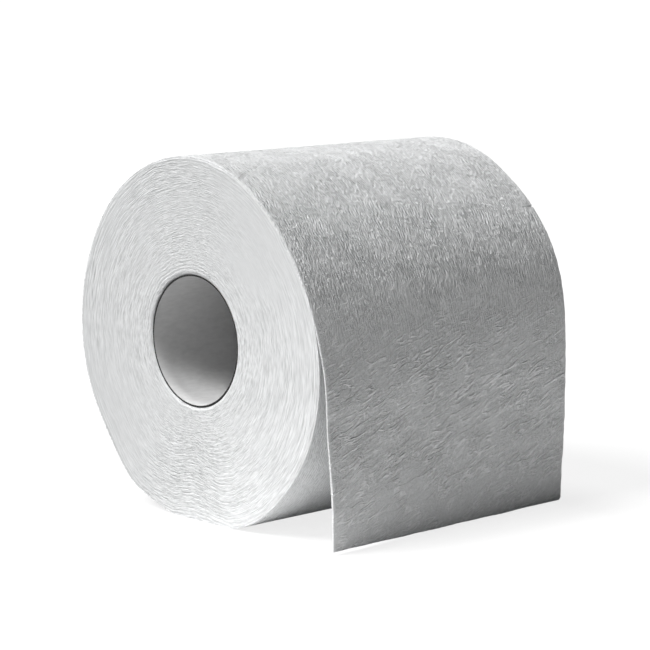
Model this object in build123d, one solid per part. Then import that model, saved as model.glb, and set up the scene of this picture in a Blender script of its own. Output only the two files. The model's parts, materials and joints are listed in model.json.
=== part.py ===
from build123d import *
import os
from math import acos, atan2, cos, degrees, radians, sin

# Toilet paper roll, lying on its side as it rests on a table. One long web of soft tissue is wound on a
# cardboard tube, and its free end hangs down the front. Millimetres, +Z up, the roll's axis along X. The
# origin is on the table under the axis, in the flat spot that the roll makes by its own weight. The free
# end hangs at the front, which is -Y.

# The web of tissue, and the roll that it is wound into
sheet_width = 101.6
sheet_thickness = 0.45
roll_radius = 55.0
flat_spot_depth = 1.0

# The cardboard tube, and the glue that holds the first turn to it
tube_bore_radius = 19.25
tube_wall = 0.55
glue_line = 0.05

# The free end. It leaves the roll at an angle counted up from the front, hangs clear of the roll's front
# and ends in a torn edge just above the table. Behind it is a crease that starts with this width.
leave_angle = 30.0
hang_clearance = 2.5
torn_edge_height = 0.5
crease_width = 0.3

# The turns that show on the two ends. A band stands for a dozen or more turns of tissue. Its end slopes in
# gently and then steps out again over a short width, and this crest runs a little into the next band. A
# bare ring is left beside the tube and inside the roll's outline.
band_count = 12
band_depth = 0.4
step_width = 0.45
crest_overlap = 0.3
cut_overshoot = 0.1
bare_ring_width = 0.6

# Places that follow from the sizes
half_width = sheet_width / 2
axis_height = roll_radius - flat_spot_depth
axis = (0.0, axis_height)
tube_radius = tube_bore_radius + tube_wall
web_bore_radius = tube_radius + glue_line


def polar(centre, radius, angle):
    """A point of the cross-section, (y, z). The angle counts from the front over the top to the back."""
    return (centre[0] - radius * cos(radians(angle)), centre[1] + radius * sin(radians(angle)))


def draw_arc(centre, radius, start, end):
    """An arc of the cross-section, from one angle to another."""
    middle = (start + end) / 2
    ThreePointArc(*(polar(centre, radius, angle) for angle in (start, middle, end)))


def web_section():
    """The web's cross-section: the roll with its last turn, and the free end that leaves it."""
    # The free end bends down on a wider arc than the roll's, with the same tangent where it leaves.
    widening = hang_clearance / (1 - cos(radians(leave_angle)))
    hang_centre = polar(axis, -widening, leave_angle)
    outside_radius = roll_radius + widening
    inside_radius = outside_radius - sheet_thickness

    # The last turn is a spiral of two half circles, which ends one sheet nearer to the axis than it starts.
    inner_half_centre = polar(axis, -sheet_thickness / 2, leave_angle)
    inner_half_radius = roll_radius - sheet_thickness / 2

    # The crease starts where the free end has parted from the turn below it by the crease's width.
    parted_radius = roll_radius - sheet_thickness + crease_width
    parted_cosine = (inside_radius**2 + widening**2 - parted_radius**2) / (2 * inside_radius * widening)
    crease_angle = leave_angle - degrees(acos(parted_cosine))
    crease_outside = polar(hang_centre, inside_radius, crease_angle)
    rise = crease_outside[1] - inner_half_centre[1]
    reach = inner_half_centre[0] - crease_outside[0]
    last_angle = degrees(atan2(rise, reach))
    crease_inside = polar(inner_half_centre, inner_half_radius, last_angle)

    outside_top = polar(hang_centre, outside_radius, 0)
    inside_top = polar(hang_centre, inside_radius, 0)
    outside_foot = (outside_top[0], torn_edge_height)
    inside_foot = (inside_top[0], torn_edge_height)
    with BuildSketch(Plane.YZ) as section:
        with BuildLine():
            Line(outside_foot, outside_top)
            draw_arc(hang_centre, outside_radius, 0, leave_angle)
            draw_arc(axis, roll_radius, leave_angle, leave_angle + 180)
            draw_arc(inner_half_centre, inner_half_radius, leave_angle + 180, last_angle + 360)
            Line(crease_inside, crease_outside)
            draw_arc(hang_centre, inside_radius, crease_angle, 0)
            Polyline(inside_top, inside_foot, outside_foot)
        make_face()
        with Locations(axis):
            Circle(web_bore_radius, mode=Mode.SUBTRACT)
    return section.sketch


def band_cuts():
    """What is cut from each end to show the bands: a spiral of half turns that ends where the web leaves."""
    inner_edge = web_bore_radius + bare_ring_width
    outer_edge = axis_height - bare_ring_width
    half_turns = 2 * band_count
    # The radius grows by this much in half a turn, so two of them are the width of a band.
    growth = (outer_edge - inner_edge - crest_overlap) / (half_turns + 2)
    slope_width = 2 * growth - step_width + crest_overlap
    widening_to_mouth = 1 + cut_overshoot / band_depth
    cuts = []
    for half_turn in range(half_turns):
        start = leave_angle + 180 * half_turn
        centre = polar(axis, -growth / 2, start)
        radius = inner_edge + slope_width + growth * (half_turn + 0.5)
        turning_axis = Axis((0, *centre), (1, 0, 0))
        for side in (-1, 1):
            mouth_x = side * (half_width + cut_overshoot)
            bottom_x = side * (half_width - band_depth)
            corners = [
                (mouth_x, *polar(centre, radius - slope_width * widening_to_mouth, start)),
                (mouth_x, *polar(centre, radius + step_width * widening_to_mouth, start)),
                (bottom_x, *polar(centre, radius, start)),
            ]
            profile = make_face(Polyline(*corners, close=True))
            cuts.append(revolve(profile, axis=turning_axis, revolution_arc=180))
    return cuts


def make_wound_paper():
    """The whole web in one piece: its turns with their banded ends, the flat spot and the free end."""
    web = extrude(web_section(), amount=half_width, both=True)
    below_table = Pos(0, 0, -roll_radius) * Box(2 * sheet_width, 4 * roll_radius, 2 * roll_radius)
    return web - below_table - band_cuts()


def make_core_tube():
    """The cardboard tube, sawn to the same width as the web."""
    with BuildSketch(Plane.YZ) as section:
        with Locations(axis):
            Circle(tube_radius)
            Circle(tube_bore_radius, mode=Mode.SUBTRACT)
    return extrude(section.sketch, amount=half_width, both=True)


os.makedirs("parts", exist_ok=True)
export_step(make_wound_paper(), "parts/wound_paper.step")
export_step(make_core_tube(), "parts/core_tube.step")
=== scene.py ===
import json
import math

import bpy
import numpy as np
from mathutils import Matrix, Vector


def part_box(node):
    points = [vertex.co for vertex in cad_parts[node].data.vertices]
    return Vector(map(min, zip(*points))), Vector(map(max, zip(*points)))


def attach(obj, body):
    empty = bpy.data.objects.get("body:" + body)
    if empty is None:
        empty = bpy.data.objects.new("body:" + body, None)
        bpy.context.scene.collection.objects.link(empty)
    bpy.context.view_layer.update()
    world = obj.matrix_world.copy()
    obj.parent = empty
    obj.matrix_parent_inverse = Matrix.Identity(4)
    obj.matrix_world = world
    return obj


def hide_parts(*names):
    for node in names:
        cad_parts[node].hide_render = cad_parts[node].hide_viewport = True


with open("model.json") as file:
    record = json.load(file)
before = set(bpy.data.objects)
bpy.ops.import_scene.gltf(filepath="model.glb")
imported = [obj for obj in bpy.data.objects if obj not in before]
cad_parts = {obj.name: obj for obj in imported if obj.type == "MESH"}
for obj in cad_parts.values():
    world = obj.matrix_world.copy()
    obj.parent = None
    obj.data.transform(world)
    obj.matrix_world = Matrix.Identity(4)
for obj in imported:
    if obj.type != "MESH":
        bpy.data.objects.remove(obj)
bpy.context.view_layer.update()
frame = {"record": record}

# A soft white toilet paper roll on its side, with the free end of the paper hanging down the front. The
# roll's axis is along X, the near end is at -X and the free end hangs at the front, -Y. Angles on the roll
# are in degrees and count from the front over the top. Places along the paper count up from the torn edge.
MM = 0.001

# Sizes taken from the frame
paper_low, paper_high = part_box("wound_paper")
core_low, core_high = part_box("core_tube")
mounts = {mount["name"]: mount for mount in frame["record"]["mounts"]}
half_width = paper_high.x
roll_radius = paper_high.y
hang_clearance = -paper_low.y - roll_radius
core_radius = core_high.y
bore_radius = mounts["core_bore"]["dims"]["r_mm"] * MM
axis_height = (core_low.z + core_high.z) / 2
sheet_thickness = 0.45 * MM

# The free end leaves the roll at this angle. At the near end it hangs further out than at the far end, where
# it bends more fully and its foot curls in.
leave_angle = 44.0
hang_near = hang_clearance + 1.5 * MM
hang_far = hang_clearance - 2.4 * MM
hang_fullness_far = 0.6 * MM
foot_curl_near = -2.6 * MM
foot_curl_far = 1.2 * MM
foot_curl_low_near = 8.0 * MM
foot_curl_high_near = 40.0 * MM
foot_curl_high_far = 28.0 * MM
torn_height_near = 0.8 * MM
torn_height_far = 0.02 * MM

# The soft roll has sagged. It is flattened at the upper front and swollen at the lower front, more so at the
# near end, which is also uneven at the back. Each place has an angle, a spread, and how far the roll stands
# out there at the near end and at the far end.
sags = [
    (leave_angle, 33, -2.7 * MM, -0.6 * MM),
    (-32, 42, 2.2 * MM, 0),
    (-66, 16, 1.2 * MM, 0.8 * MM),
    (56, 10, 0, -0.55 * MM),
    (132, 20, 0.45 * MM, 0),
    (-123, 10, 1.1 * MM, 0),
    (-143, 16, -0.9 * MM, 0),
]

# The paper tears at perforations this far apart. The last turn ends under the free end, this many degrees
# below the place where the free end leaves the roll.
sheet_pitch = 94.0 * MM
last_turn_lap = 8.0

# The paper's side edges are rounded off over a width, and so are the rims of the turns' ends.
edge_round_width = 0.3 * MM
edge_round_drop = 0.12 * MM
rim_round_width = 0.4 * MM
rim_round_depth = 0.08 * MM

# The hole is a little wider than the bore, and oval. The turns sink in there, and behind a thin lip they lie
# round the core with a small gap. The core is cut a little short.
hole_margin = 0.3 * MM
hole_oval = 0.4 * MM
hole_round_depth = 0.45 * MM
hole_lip = 0.2 * MM
core_gap = 0.05 * MM
core_inset = 0.3 * MM
core_edge_round = 0.06 * MM

# The side edges stray, and less so on the roll, where they lie just inside the ends. The torn edge is uneven
# and its far corner is rounded. Low on the near edge the plies part, and the first perforation has begun to
# tear at the far edge. Zones are lengths from the torn edge.
stray_near = 0.2 * MM
stray_far = 0.35 * MM
calm_edge_zone = (70 * MM, 105 * MM)
inset_edge_zone = (70 * MM, 100 * MM)
torn_depth = 0.12 * MM
corner_round = 0.9 * MM
parted_gap = 0.3 * MM
parted_width = 1.3 * MM
parted_place = 17.0 * MM
parted_spread = 11.0 * MM
tear_length = 6.0 * MM
tear_gap = 0.8 * MM

# The paper's relief, whose crinkles wander. Up from a calm foot, the creases of the free end fade out,
# upright crinkles stand at the bend, the streaks of the roll fade in, and the slanting ones weaken on top.
# Each finish has a finer relief of its own.
crepe_height = 0.1 * MM
crepe_wander = 0.7 * MM
fine_height_sheets = 0.09 * MM
fine_height_ends = 0.045 * MM
fine_height_board = 0.02 * MM
calm_foot_zone = (4 * MM, 24 * MM)
crease_zone = (42 * MM, 72 * MM)
streak_zone = (46 * MM, 88 * MM)
fine_streak_zone = (45 * MM, 85 * MM)
top_zone = (98 * MM, 130 * MM)
bend_place = 76.0 * MM
bend_spread = 20.0 * MM

# The rings on the ends. The table pushes the turns in, so they rise in a hump over the flat spot.
ring_height = 0.045 * MM
ring_spacing = 1.05 * MM
hump_angle = -92
hump_height = 3.2 * MM
hump_dip = 0.8 * MM

# The grey of the board in the bore, and the near-black of its cut edges, which is painted shade for the dark
# shadow line between the core and the paper
bore_grey = 0.68
painted_shade_edge_grey = 0.04


def swell(value, centre, spread):
    """A soft bump of height 1."""
    return np.exp(-(((value - centre) / spread) ** 2))


def swell_round(angle, centre, spread):
    """A soft bump of height 1 round an angle."""
    return swell((angle - centre + 180) % 360 - 180, 0, spread)


def smooth_step(value, start, end):
    """Rises softly from 0 at start to 1 at end."""
    share = np.clip((value - start) / (end - start), 0, 1)
    return share * share * (3 - 2 * share)


def between_ends(near, far, x):
    """A size that changes evenly from the near end to the far end."""
    return (near + far) / 2 + (far - near) * x / (2 * half_width)


def soft_noise(u, v, seed, repeat=(256, 256)):
    """Smooth random heights, about -1 to 1. They vary over a length of 1 and repeat after so many cells."""
    turn = np.random.default_rng(seed).uniform(0, 2 * np.pi, repeat)
    u, v = np.broadcast_arrays(u, v)
    column = np.floor(u).astype(int)
    row = np.floor(v).astype(int)
    across = u - column
    along = v - row
    ease_across = across**3 * (across * (6 * across - 15) + 10)
    ease_along = along**3 * (along * (6 * along - 15) + 10)

    def slope(right, up):
        angle = turn[(column + right) % repeat[0], (row + up) % repeat[1]]
        return np.cos(angle) * (across - right) + np.sin(angle) * (along - up)

    low = slope(0, 0) * (1 - ease_across) + slope(1, 0) * ease_across
    high = slope(0, 1) * (1 - ease_across) + slope(1, 1) * ease_across
    return 1.5 * (low * (1 - ease_along) + high * ease_along)


def grain_noise(x, length, direction, across, along, seed):
    """Noise in the paper, with cells that are long in a direction counted in degrees from X."""
    direction = math.radians(direction)
    with_grain = x * math.cos(direction) + length * math.sin(direction)
    cross_grain = length * math.cos(direction) - x * math.sin(direction)
    return soft_noise(with_grain / along, cross_grain / across, seed)


def crests(noise, sharpness):
    """Narrow crests of height 1 along the lines where a noise is zero."""
    return np.clip(1 - sharpness * np.abs(noise), 0, 1)


def turn_radius(angle, x, inset=0.0, table_gap=0.0):
    """The outside of a turn that lies so far inside the roll's outline and so far above the table."""
    radius = roll_radius - inset
    for centre, spread, near, far in sags:
        radius = radius + between_ends(near, far, x) * swell_round(angle, centre, spread)
    downward = np.maximum(-np.sin(np.radians(angle)), 0.05)
    return np.minimum(radius, (axis_height - table_gap) / downward)


def polar(radius, angle):
    """The y and z of a point on the roll."""
    angle = np.radians(angle)
    return -radius * np.cos(angle), axis_height + radius * np.sin(angle)


def hung_path(length, x):
    """The y and z of the outside of the free end, the angle that it faces, and its whole length."""
    leave = math.radians(leave_angle)
    leave_radius = turn_radius(leave_angle, x)
    reach = roll_radius + between_ends(hang_near, hang_far, x)
    widening = (reach - leave_radius) / (1 - math.cos(leave))
    hang_radius = leave_radius + widening
    centre_y = widening * math.cos(leave)
    centre_z = axis_height - widening * math.sin(leave)
    straight = centre_z - between_ends(torn_height_near, torn_height_far, x)
    facing = np.clip((length - straight) / hang_radius, 0, leave)
    curl_low = between_ends(foot_curl_low_near, 0, x)
    curl_high = between_ends(foot_curl_high_near, foot_curl_high_far, x)
    curl = between_ends(foot_curl_near, foot_curl_far, x) * (1 - smooth_step(length, curl_low, curl_high))
    bent_radius = hang_radius + between_ends(0, hang_fullness_far, x) * np.sin(np.pi * facing / leave) ** 2
    y = centre_y - bent_radius * np.cos(facing) + curl
    z = centre_z + bent_radius * np.sin(facing) + np.minimum(length - straight, 0)
    return y, z, np.degrees(facing), straight + hang_radius * leave


def web_path(length, x):
    """The y and z of the outside of the paper at a length from the torn edge, and the angle it faces."""
    y, z, facing, hung_length = hung_path(length, x)
    on_roll = leave_angle + np.degrees(np.maximum(length - hung_length, 0) / roll_radius)
    inset = sheet_thickness * (on_roll - leave_angle) / 360
    roll_y, roll_z = polar(turn_radius(on_roll, x, inset), on_roll)
    wound = length > hung_length
    return np.where(wound, roll_y, y), np.where(wound, roll_z, z), np.where(wound, on_roll, facing)


# The length of all the paper that is made as sheets, and where it becomes smoother underneath the roll
paper_end = hung_path(0, 0.0)[3] + math.radians(360 - last_turn_lap) * roll_radius
smooth_zone = (paper_end - 125 * MM, paper_end - 85 * MM)


def roll_streaks(length, x):
    """Streaks along the paper on the roll. The slanting ones are weaker on top."""
    short_streaks = grain_noise(x, length, 91, 0.6 * MM, 3.4 * MM, 12)
    slanting_streaks = grain_noise(x, length, 62, 0.6 * MM, 2.4 * MM, 13)
    long_streaks = grain_noise(x, length, 92, 0.6 * MM, 9 * MM, 18)
    slanting_streaks = slanting_streaks * (1 - 0.7 * smooth_step(length, *top_zone))
    return 0.25 * (short_streaks + slanting_streaks + long_streaks)


def free_end_creases(length, x, patch):
    """Creases that slant across the free end, with low and steep ones taking turns from patch to patch."""
    low_creases = crests(grain_noise(x, length, 17, 2.2 * MM, 13 * MM, 14), 4.5)
    steep_creases = crests(grain_noise(x, length, 29, 2.0 * MM, 10 * MM, 19), 4.5)
    short_creases = crests(grain_noise(x, length, 23, 1.1 * MM, 3.0 * MM, 15), 3.2)
    creases = 1.2 * low_creases * (0.5 + 0.5 * patch) + steep_creases * (0.9 - 0.4 * patch)
    return creases + 0.6 * short_creases * patch - 0.4


def crepe(length, x):
    """The paper's relief, about -1 to 1, and how crinkled it is."""
    patch = smooth_step(soft_noise(x / (12 * MM), length / (9 * MM), 17), -0.4, 0.4)
    on_roll = smooth_step(length, *streak_zone)
    hanging = 1 - smooth_step(length, *crease_zone)
    bending = swell(length, bend_place, bend_spread)
    calm_foot = 0.55 + 0.45 * smooth_step(length, *calm_foot_zone)
    grain = grain_noise(x, length, 70, 0.7 * MM, 1.2 * MM, 16)
    upright_creases = crests(grain_noise(x, length, 97, 2.4 * MM, 6 * MM, 20), 4.0)

    relief = (0.6 + 0.4 * patch) * roll_streaks(length, x) * on_roll
    relief = relief + calm_foot * free_end_creases(length, x, patch) * hanging
    relief = relief + (0.2 + 0.4 * bending) * grain + 0.8 * bending * upright_creases
    crinkled = (0.75 + 0.3 * patch) * (1 - hanging) + calm_foot * (0.6 + 0.4 * patch) * hanging
    return relief, crinkled * (1 - 0.55 * smooth_step(length, *smooth_zone))


def edge_wobble(length, seed, size):
    """How far an edge of the paper strays sideways. It strays less where it lies on the roll."""
    strays = soft_noise(length / (21 * MM), 0.5, seed) + 0.5 * soft_noise(length / (3 * MM), 0.5, seed + 1)
    return size * strays * (1 - 0.9 * smooth_step(length, *calm_edge_zone))


def grid_quads(grid):
    """Quads of a grid of point numbers. They face out where columns run along X and rows along the paper."""
    return np.stack([grid[:-1, :-1], grid[:-1, 1:], grid[1:, 1:], grid[1:, :-1]], -1).reshape(-1, 4)


def closed_grid(shape):
    """The point numbers of a grid that closes on itself both ways."""
    grid = np.arange(shape[0] * shape[1]).reshape(shape[:2])
    grid = np.concatenate([grid, grid[:1]])
    return np.concatenate([grid, grid[:, :1]], axis=1)


def rim_of(grid):
    """The point numbers round the edge of a grid, in order, with the first one again at the end."""
    return np.concatenate([grid[0, :-1], grid[:-1, -1], grid[-1, :0:-1], grid[::-1, 0]])


def shell_faces(outside, inside, step):
    """Faces of a thin closed shell with a fine outside and an inside that has every step-th point."""
    fine = rim_of(outside)
    coarse = rim_of(inside)
    half = step // 2
    faces = grid_quads(outside).tolist() + grid_quads(inside)[:, ::-1].tolist()
    for place in range(len(coarse) - 1):
        first, last = coarse[place], coarse[place + 1]
        points = fine[place * step : (place + 1) * step + 1]
        for number in range(step):
            faces.append([points[number + 1], points[number], first if number < half else last])
        faces.append([first, last, points[half]])
    return faces


def add_piece(name, points, faces, node, materials):
    """A mesh object that stands for a CAD node, rides with the roll and takes its finish from a slot."""
    mesh = bpy.data.meshes.new(name)
    mesh.from_pydata(points.reshape(-1, 3).tolist(), [], faces)
    mesh.shade_smooth()
    mesh.set_sharp_from_angle(angle=math.radians(55))
    for material in materials:
        mesh.materials.append(material)
    piece = bpy.data.objects.new(name, mesh)
    bpy.context.scene.collection.objects.link(piece)
    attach(piece, "root")
    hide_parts(node)
    return piece


def note_grain(piece, place, relief, crinkled):
    """Keeps at each point what the tissue's material needs: its place in the paper, relief and crinkling."""
    layer = piece.data.attributes.new("place", "FLOAT_VECTOR", "POINT")
    layer.data.foreach_set("vector", place.astype(np.float32).ravel())
    for name, values in (("relief", relief), ("crinkled", crinkled)):
        layer = piece.data.attributes.new(name, "FLOAT", "POINT")
        layer.data.foreach_set("value", values.astype(np.float32).ravel())


def web_outline(flat_length, flat_x, has_tear):
    """Where points of the flat paper lie once its edges stray: their x and their length along the web."""
    side = flat_x / half_width
    corner = corner_round * (1 - smooth_step(flat_length, 0, corner_round)) ** 2
    x = flat_x - rim_round_depth * side * smooth_step(flat_length, *inset_edge_zone)
    x = x + edge_wobble(flat_length, 21, stray_near) * smooth_step(-side, 0.8, 1)
    x = x + (edge_wobble(flat_length, 23, stray_far) - corner) * smooth_step(side, 0.96, 1)
    torn = soft_noise(flat_x / (9 * MM), 0.5, 25) + 0.4 * soft_noise(flat_x / (2.0 * MM), 0.5, 26)
    length = flat_length + torn_depth * (1 + torn) * (1 - smooth_step(flat_length, 0, 2.5 * MM))
    if has_tear:
        torn_open = smooth_step(flat_x, half_width - tear_length, half_width)
        below_tear = smooth_step(flat_length, sheet_pitch - 2 * MM, sheet_pitch)
        length = length - tear_gap * torn_open * below_tear
    return x, length


def web_surfaces(x, length, to_edge, relief):
    """The points of the paper's outside and inside, with both side edges rounded off."""
    y, z, facing = web_path(length, x)
    out_y = -np.cos(np.radians(facing))
    out_z = np.sin(np.radians(facing))
    rounded = edge_round_drop * np.clip(1 - to_edge / edge_round_width, 0, 1) ** 2
    height = crepe_height * relief - rounded
    near_edge = (x < 0) * (1 - smooth_step(to_edge, 0, parted_width))
    parted = parted_gap * swell(length, parted_place, parted_spread) * near_edge
    depth = 0.5 * height - 0.5 * rounded - sheet_thickness - parted
    outside = np.stack([x, y + height * out_y, np.maximum(z + height * out_z, 0)], -1)
    inside = np.stack([x, y + depth * out_y, z + depth * out_z], -1)
    return outside, inside


def make_web(name, start, end, spacing_x, spacing_along, inside_step):
    """A stretch of the paper between two lengths from the torn edge, as a thin closed shell."""
    rows = inside_step * round((end - start) / (spacing_along * inside_step))
    columns = inside_step * round(2 * half_width / (spacing_x * inside_step))
    flat_lengths = np.linspace(start, end, rows + 1)
    flat_xs = np.linspace(-half_width, half_width, columns + 1)
    flat_length, flat_x = np.meshgrid(flat_lengths, flat_xs, indexing="ij")
    to_edge = half_width - np.abs(flat_x)

    # The crinkles wander, and are weaker along the edges.
    wander = crepe_wander * soft_noise(flat_x / (6 * MM), flat_length / (6 * MM), 11)
    grain_length = flat_length + wander
    grain_x = flat_x + wander
    relief, crinkled = crepe(grain_length, grain_x)
    from_edge = smooth_step(to_edge, 0.2 * MM, 1.4 * MM)
    relief = relief * (0.1 + 0.9 * from_edge)
    crinkled = crinkled * (0.5 + 0.5 * from_edge)

    x, length = web_outline(flat_length, flat_x, start < sheet_pitch)
    outside, inside = web_surfaces(x, length, to_edge, relief)
    outside_numbers = np.arange(length.size).reshape(length.shape)
    coarse_shape = length[::inside_step, ::inside_step].shape
    inside_numbers = length.size + np.arange(math.prod(coarse_shape)).reshape(coarse_shape)
    faces = shell_faces(outside_numbers, inside_numbers, inside_step)

    def with_inside(values, inside_values):
        coarse = inside_values[::inside_step, ::inside_step]
        return np.concatenate([values.reshape(length.size, -1), coarse.reshape(inside_numbers.size, -1)])

    points = with_inside(outside, inside)
    piece = add_piece(name, points, faces, "wound_paper", [sheet_material])
    place = np.stack([grain_x, grain_length, np.zeros_like(length)], -1)
    note_grain(piece, *(with_inside(values, values) for values in (place, relief, crinkled)))
    return piece


def hole_radius(angle):
    """The edge of the hole in the wound paper. It is a little oval, and hides some of the core's edge."""
    widest = swell_round(angle, 150, 55) + swell_round(angle, -70, 60)
    return bore_radius + hole_margin + hole_oval * widest


def ring_relief(share, angle, seed):
    """The relief of the turns' ends at a share of the way from hole to rim, with the depth in the winding."""
    # Over the flat spot the turns rise in a hump and are loose. At the upper front and low at the back they
    # are smooth.
    around = angle / 360
    pushed = smooth_step(share, 0.05, 0.45) * (1 - 0.4 * smooth_step(share, 0.75, 1))
    hump = hump_height * swell_round(angle, hump_angle, 13) - hump_dip * swell_round(angle, hump_angle, 34)
    loose = pushed * swell_round(angle, -90, 27)
    smooth = swell_round(angle, 46, 27) + 0.7 * swell_round(angle, -148, 24)
    smooth = smooth * smooth_step(share, 0.15, 0.4)
    depth = share * (roll_radius - core_radius) + pushed * hump
    depth = depth + 0.4 * MM * soft_noise(depth / (6 * MM), around * 24, seed, (64, 24))
    ripples = soft_noise(depth / (2.2 * MM), around * 80, seed + 4, (64, 80))
    depth = depth + 0.16 * MM * (1 + loose) * ripples
    rings = soft_noise(depth / (0.66 * MM), around * 44, seed + 1, (128, 44))
    rings = rings + 0.7 * soft_noise(depth / (0.55 * MM), around * 110, seed + 2, (128, 110))
    ridges = np.cos(2 * np.pi * (depth / ring_spacing - around))
    clear_rings = swell(share, 0, 0.16) * (0.4 + swell_round(angle, 130, 70))
    clear_rings = clear_rings + 0.7 * swell(share, 1, 0.08) + 1.1 * loose
    patch = smooth_step(soft_noise(depth / (8 * MM), around * 12, seed + 3, (64, 12)), -0.4, 0.4)
    crinkled = (0.6 + 0.3 * patch + 0.6 * loose) * (1 - 0.7 * smooth)
    return 0.28 * crinkled * rings + clear_rings * ridges, crinkled, depth


def turns_end(side, seed, angles, shares):
    """The points of one end of the wound turns, and the depth in the winding, relief and crinkling there."""
    # The rim follows the inside of the last turn, and steps out again where the free end leaves the roll.
    end_x = np.full_like(angles, side * half_width)
    lap = ((angles - leave_angle) % 360) / 360
    lap = lap * (1 - smooth_step(lap, 0.985, 1))
    hole = hole_radius(angles)
    outer = turn_radius(angles, end_x, sheet_thickness * (1 + lap), sheet_thickness)
    y, z = polar(hole + (outer - hole) * shares, angles)
    relief, crinkled, depth = ring_relief(shares, angles, seed)
    to_rim = (outer - hole) * (1 - shares)
    rounded = rim_round_depth * np.clip(1 - to_rim / rim_round_width, 0, 1) ** 2
    sunk = rounded + hole_round_depth * swell(shares, 0, 0.012) - ring_height * relief
    return np.stack([end_x - side * sunk, y, z], -1), (depth, relief, crinkled)


def hole_edge(edge, angle, side):
    """Two rows of points at an end of the hole: behind the thin lip, and where the paper meets the core."""
    behind = edge - np.array([side * hole_lip, 0, 0])
    y, z = polar(core_radius + core_gap, angle)
    seat = np.stack([behind[:, 0] - side * 0.1 * hole_lip, y, z], -1)
    return [behind, seat]


def make_turns():
    """The wound turns inside the last one, with their two ends as spirals of fine broken ridges."""
    around_count = 300
    end_count = 150
    wall_count = 5
    angle = np.arange(around_count) * (360 / around_count)
    angles, shares = np.meshgrid(angle, np.linspace(0, 1, end_count + 1))
    near, near_grain = turns_end(-1, 31, angles, shares)
    far, far_grain = turns_end(1, 41, angles, shares)
    steps = np.linspace(0, 1, wall_count + 1)[1:-1, None, None]
    rim_wall = near[-1] + (far[-1] - near[-1]) * steps
    hole_wall = np.array(hole_edge(far[0], angle, 1) + hole_edge(near[0], angle, -1)[::-1])
    rows = np.concatenate([near, rim_wall, far[::-1], hole_wall])
    faces = grid_quads(closed_grid(rows.shape)).tolist()
    finish = tissue_material("tissue_ends", end_grain, fine_height_ends)
    piece = add_piece("wound_turns", rows, faces, "wound_paper", [finish])

    def with_walls(near_values, far_values):
        rim = np.zeros((len(rim_wall), around_count))
        hole = np.zeros((len(hole_wall), around_count))
        return np.concatenate([near_values, rim, far_values[::-1], hole]).ravel()

    depth, relief, crinkled = (with_walls(*pair) for pair in zip(near_grain, far_grain))
    turned = np.radians(np.tile(angle, len(rows)))
    note_grain(piece, np.stack([np.cos(turned), np.sin(turned), depth], -1), relief, crinkled)
    return piece


def make_core():
    """The cardboard tube, cut a little short of the paper. Its soft edges are painted near-black as painted
    shade for the dark shadow line round the core, and its bore is paler.
    """
    around_count = 180
    end = half_width - core_inset
    soft = core_edge_round
    corners = [(-end, core_radius - soft), (-end, bore_radius + soft), (-end + soft, bore_radius)]
    corners += [(x, bore_radius) for x in np.linspace(-end, end, 24)[1:-1]]
    corners += [(end - soft, bore_radius), (end, bore_radius + soft), (end, core_radius - soft)]
    corners += [(end - soft, core_radius), (-end + soft, core_radius)]
    x, radius = np.array(corners).T
    angle = np.arange(around_count) * (360 / around_count)
    y, z = polar(radius[:, None] + np.zeros(around_count), angle)
    points = np.stack([np.broadcast_to(x[:, None], y.shape), y, z], -1)
    faces = grid_quads(closed_grid(points.shape))[:, ::-1].tolist()
    finishes = [board_material("board_bore", bore_grey), board_material("board_edge_painted_shade", painted_shade_edge_grey)]
    piece = add_piece("core_board", points, faces, "core_tube", finishes)
    # The end rows take the near-black edge finish, which is painted shade for the shadow line round the core.
    at_end = np.abs(x) > end - 1.5 * soft
    edge_rows = at_end & np.roll(at_end, -1)
    piece.data.polygons.foreach_set("material_index", np.repeat(edge_rows.astype(np.int32), around_count))
    return piece


def add_node(tree, kind, inputs=None, **settings):
    """A shader node with its settings, and with each input set to a value or linked to another output."""
    node = tree.nodes.new(kind)
    for key, value in settings.items():
        setattr(node, key, value)
    for key, value in (inputs or {}).items():
        if isinstance(value, bpy.types.NodeSocket):
            tree.links.new(value, node.inputs[key])
        else:
            node.inputs[key].default_value = value
    return node


def math_node(tree, operation, *values):
    """The result of a sum on numbers or outputs."""
    return add_node(tree, "ShaderNodeMath", dict(enumerate(values)), operation=operation).outputs[0]


def kept_value(tree, name, output):
    """What the piece keeps at its points under a name."""
    return add_node(tree, "ShaderNodeAttribute", attribute_name=name).outputs[output]


def even_noise(tree, vector, dimensions):
    """Fine noise, about -1 to 1."""
    noise = add_node(
        tree,
        "ShaderNodeTexNoise",
        {"Vector": vector, "Scale": 1.0, "Detail": 1.5, "Roughness": 0.5},
        noise_dimensions=dimensions,
    ).outputs["Fac"]
    return math_node(tree, "MULTIPLY_ADD", noise, 5.0, -2.5)


def grain_texture(tree, place, direction, across, along):
    """Noise with cells that are long in a direction counted in degrees from X."""
    turned = add_node(
        tree, "ShaderNodeMapping", {"Vector": place, "Rotation": (0, 0, -math.radians(direction))}
    ).outputs["Vector"]
    scaled = add_node(
        tree, "ShaderNodeMapping", {"Vector": turned, "Scale": (1 / along, 1 / across, 1)}
    ).outputs["Vector"]
    return even_noise(tree, scaled, "2D")


def clamped_slope(tree, value, slope, start):
    """A value times a slope, from a start, kept between 0 and 1."""
    inputs = {0: value, 1: slope, 2: start}
    return add_node(tree, "ShaderNodeMath", inputs, operation="MULTIPLY_ADD", use_clamp=True).outputs[0]


def crest_texture(tree, place, direction, across, along, sharpness):
    """Narrow broken crests of height 1 that run roughly in a direction counted in degrees from X."""
    away = math_node(tree, "ABSOLUTE", grain_texture(tree, place, direction, across, along))
    patches = grain_texture(tree, place, direction + 50, 1.5 * across, 0.5 * along)
    crest = clamped_slope(tree, away, -sharpness, 1.0)
    return math_node(tree, "MULTIPLY", crest, clamped_slope(tree, patches, 1.6, 0.5))


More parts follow.
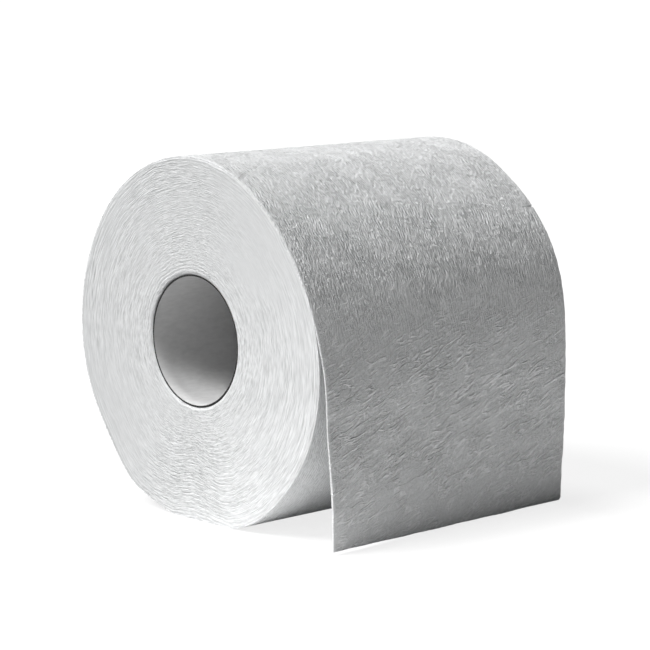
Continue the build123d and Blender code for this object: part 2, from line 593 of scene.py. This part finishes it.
def rib_texture(tree, place, spacing):
    """Fine ribs along the paper, -1 to 1, that stray a little sideways."""
    across = add_node(tree, "ShaderNodeSeparateXYZ", {"Vector": place}).outputs["X"]
    stray = grain_texture(tree, place, 90, 1.6 * MM, 7 * MM)
    return math_node(tree, "SINE", math_node(tree, "MULTIPLY_ADD", across, 2 * math.pi / spacing, stray))


def weighted_sum(tree, parts, start):
    """The sum of some outputs, each with its weight, and of a starting value."""
    total = start
    for weight, value in parts:
        total = math_node(tree, "MULTIPLY_ADD", value, weight, total)
    return total


def sheet_grain(tree):
    """Fine relief of the sheets: streaks along the paper on the roll, slanting crinkles on the free end."""
    place = kept_value(tree, "place", "Vector")
    length = add_node(tree, "ShaderNodeSeparateXYZ", {"Vector": place}).outputs["Y"]
    on_roll = add_node(
        tree,
        "ShaderNodeMapRange",
        {"Value": length, "From Min": fine_streak_zone[0], "From Max": fine_streak_zone[1]},
        interpolation_type="SMOOTHSTEP",
    ).outputs["Result"]
    woven = [
        (1.4, grain_texture(tree, place, 91, 0.3 * MM, 2.0 * MM)),
        (1.0, rib_texture(tree, place, 0.9 * MM)),
        (2.3, crest_texture(tree, place, 91, 0.8 * MM, 6 * MM, 2.3)),
        (2.0, crest_texture(tree, place, 76, 1.0 * MM, 5 * MM, 3.0)),
        (1.8, crest_texture(tree, place, 104, 1.0 * MM, 5 * MM, 3.0)),
    ]
    creased = [
        (0.7, grain_texture(tree, place, 22, 0.33 * MM, 1.0 * MM)),
        (3.6, crest_texture(tree, place, 17, 2.6 * MM, 17 * MM, 5.0)),
        (3.3, crest_texture(tree, place, 29, 2.4 * MM, 13 * MM, 5.0)),
        (1.0, crest_texture(tree, place, 23, 1.3 * MM, 6 * MM, 3.5)),
    ]
    free_end = weighted_sum(tree, creased, -0.7)
    roll = weighted_sum(tree, woven, 0.15)
    return add_node(tree, "ShaderNodeMix", {"Factor": on_roll, "A": free_end, "B": roll}).outputs["Result"]


def end_grain(tree):
    """Fine relief of the turns' ends: long and short pieces of rings, finer above and below the core."""
    place = kept_value(tree, "place", "Vector")
    upright = add_node(tree, "ShaderNodeSeparateXYZ", {"Vector": place}).outputs["Y"]
    above_or_below = math_node(tree, "MULTIPLY", upright, upright)

    def rings(width, pieces_around):
        pieces = []
        for turns in pieces_around:
            scale = {"Vector": place, "Scale": (turns, turns, 1 / width)}
            vector = add_node(tree, "ShaderNodeMapping", scale).outputs["Vector"]
            pieces.append(even_noise(tree, vector, "3D"))
        return math_node(tree, "ADD", *pieces)

    kinds = {"Factor": above_or_below, "A": rings(0.52 * MM, (4, 12)), "B": rings(0.25 * MM, (8, 22))}
    return add_node(tree, "ShaderNodeMix", kinds).outputs["Result"]


def tissue_material(name, fine_grain, fine_height):
    """Soft white tissue. Its colour is painted shade in the hollows of the relief and painted light on its
    crests, and a fine relief shows where it is crinkled.
    """
    material = bpy.data.materials.new(name)
    material.use_nodes = True
    tree = material.node_tree
    shader = tree.nodes["Principled BSDF"]
    fine = math_node(tree, "MULTIPLY", fine_grain(tree), kept_value(tree, "crinkled", "Fac"))
    # The ramp's place follows the relief and the fine relief, so the colour paints shade into the hollows and
    # light onto the crests.
    crest = weighted_sum(tree, [(0.15, kept_value(tree, "relief", "Fac")), (0.36, fine)], 0.7)
    ramp = add_node(tree, "ShaderNodeValToRGB", {"Fac": crest})
    # The dark end of the ramp is painted shade in the hollows, and the pale end is painted light on the
    # crests.
    painted_hollow_shade, top = ramp.color_ramp.elements
    painted_hollow_shade.color = (0.54, 0.55, 0.55, 1)
    top.color = (0.98, 0.99, 0.995, 1)
    bump = add_node(tree, "ShaderNodeBump", {"Height": fine, "Strength": 1.0, "Distance": fine_height})
    tree.links.new(ramp.outputs["Color"], shader.inputs["Base Color"])
    tree.links.new(bump.outputs["Normal"], shader.inputs["Normal"])
    shader.inputs["Roughness"].default_value = 0.95
    shader.inputs["Specular IOR Level"].default_value = 0.15
    shader.inputs["Sheen Weight"].default_value = 0.12
    shader.inputs["Sheen Roughness"].default_value = 0.6
    return material


def board_material(name, grey):
    """Smooth grey cardboard with a faint grain."""
    material = bpy.data.materials.new(name)
    material.use_nodes = True
    tree = material.node_tree
    shader = tree.nodes["Principled BSDF"]
    place = add_node(tree, "ShaderNodeTexCoord").outputs["Object"]
    cells = {"Vector": place, "Scale": (350, 900, 900)}
    stretched = add_node(tree, "ShaderNodeMapping", cells).outputs["Vector"]
    noise = {"Vector": stretched, "Scale": 1.0, "Detail": 3.0}
    fibres = add_node(tree, "ShaderNodeTexNoise", noise).outputs["Fac"]
    ramp = add_node(tree, "ShaderNodeValToRGB", {"Fac": fibres})
    dark, pale = ramp.color_ramp.elements
    dark.color = (0.85 * grey, 0.85 * grey, 0.85 * grey, 1)
    pale.color = (1.15 * grey, 1.15 * grey, 1.15 * grey, 1)
    relief = {"Height": fibres, "Strength": 1.0, "Distance": fine_height_board}
    bump = add_node(tree, "ShaderNodeBump", relief)
    tree.links.new(ramp.outputs["Color"], shader.inputs["Base Color"])
    tree.links.new(bump.outputs["Normal"], shader.inputs["Normal"])
    shader.inputs["Roughness"].default_value = 0.8
    shader.inputs["Specular IOR Level"].default_value = 0.2
    return material


def seen_by_camera(tree, hidden, seen):
    """A shader that the camera sees, also in reflections, with another one that lights the roll."""
    path = add_node(tree, "ShaderNodeLightPath").outputs
    reflected = math_node(tree, "MAXIMUM", path["Is Glossy Ray"], path["Is Transmission Ray"])
    ray = math_node(tree, "MAXIMUM", path["Is Camera Ray"], reflected)
    return add_node(tree, "ShaderNodeMixShader", {"Fac": ray, 1: hidden, 2: seen}).outputs[0]


def add_floor():
    """A wide floor, palest in front of the roll. The camera sees it white, with the roll's shadow on it."""
    size = 8.0
    palest_place = (0, -0.125, 0)
    reach = {"From Min": 0.08, "From Max": 0.2}
    greys = {"To Min": 0.9, "To Max": 0.15}
    mesh = bpy.data.meshes.new("floor")
    corners = [(-size, -size, 0), (size, -size, 0), (size, size, 0), (-size, size, 0)]
    mesh.from_pydata(corners, [], [(0, 1, 2, 3)])
    material = bpy.data.materials.new("floor")
    material.use_nodes = True
    tree = material.node_tree
    tree.nodes.clear()
    place = add_node(tree, "ShaderNodeTexCoord").outputs["Object"]
    ends = {0: place, 1: palest_place}
    away = add_node(tree, "ShaderNodeVectorMath", ends, operation="DISTANCE").outputs["Value"]
    grey = add_node(
        tree,
        "ShaderNodeMapRange",
        {"Value": away, **reach, **greys},
        interpolation_type="SMOOTHSTEP",
    ).outputs["Result"]
    bounce = add_node(tree, "ShaderNodeBsdfDiffuse", {"Color": grey})
    shaded = add_node(tree, "ShaderNodeBsdfDiffuse", {"Color": (0.25, 0.25, 0.25, 1)})
    glow = add_node(tree, "ShaderNodeEmission", {"Color": (1, 1, 1, 1), "Strength": 0.8})
    seen = add_node(tree, "ShaderNodeAddShader", {0: shaded.outputs[0], 1: glow.outputs[0]})
    surface = seen_by_camera(tree, bounce.outputs[0], seen.outputs[0])
    add_node(tree, "ShaderNodeOutputMaterial", {"Surface": surface})
    mesh.materials.append(material)
    floor = bpy.data.objects.new("floor", mesh)
    bpy.context.scene.collection.objects.link(floor)


def add_world():
    """Weak even light from all round. The camera sees it as white."""
    world = bpy.data.worlds.new("studio")
    world.use_nodes = True
    tree = world.node_tree
    tree.nodes.clear()
    dim = add_node(tree, "ShaderNodeBackground", {"Color": (1, 1, 1, 1), "Strength": 0.05})
    white = add_node(tree, "ShaderNodeBackground", {"Color": (1, 1, 1, 1), "Strength": 1.0})
    surface = seen_by_camera(tree, dim.outputs[0], white.outputs[0])
    add_node(tree, "ShaderNodeOutputWorld", {"Surface": surface})
    bpy.context.scene.world = world


def add_sun(name, towards, brightness, spread):
    """A soft lamp far away in a direction. A brightness of 1 shows a white surface that faces it as white."""
    lamp = bpy.data.lights.new(name, "SUN")
    lamp.energy = math.pi * brightness
    lamp.angle = math.radians(spread)
    sun = bpy.data.objects.new(name, lamp)
    sun.rotation_euler = Vector(towards).to_track_quat("Z", "Y").to_euler()
    bpy.context.scene.collection.objects.link(sun)


def add_camera():
    """The photograph's viewing angle, with a long lens."""
    azimuth = math.radians(-42.05)
    elevation = math.radians(8.66)
    distance = 0.8397
    aim_right = 1.03 * MM
    aim_up = -0.35 * MM
    level = math.cos(elevation)
    back = Vector((math.sin(azimuth) * level, -math.cos(azimuth) * level, math.sin(elevation)))
    right = Vector((math.cos(azimuth), math.sin(azimuth), 0))
    up = back.cross(right)
    place = Vector((0, 0, axis_height)) + right * aim_right + up * aim_up + back * distance
    data = bpy.data.cameras.new("camera")
    data.sensor_width = 36.0
    data.lens = 151.1
    camera = bpy.data.objects.new("camera", data)
    camera.matrix_world = Matrix([*zip(right, up, back, place), (0, 0, 0, 1)])
    bpy.context.scene.collection.objects.link(camera)
    bpy.context.scene.camera = camera


# The roll
sheet_material = tissue_material("tissue_sheet", sheet_grain, fine_height_sheets)
make_turns()
make_web("first_sheet", 0, sheet_pitch, 0.3 * MM, 0.38 * MM, 4)
make_web("second_sheet", sheet_pitch, 2 * sheet_pitch, 0.25 * MM, 0.5 * MM, 6)
make_web("last_turn", 2 * sheet_pitch, paper_end, 0.4 * MM, 0.7 * MM, 8)
make_core()

# The studio
add_floor()
add_world()
add_sun("key", (-0.6, 0.23, 0.77), 0.99, 28)
add_sun("top", (-0.1, 0.35, 0.93), 0.37, 14)
add_camera()
bpy.context.scene.view_settings.view_transform = "Standard"
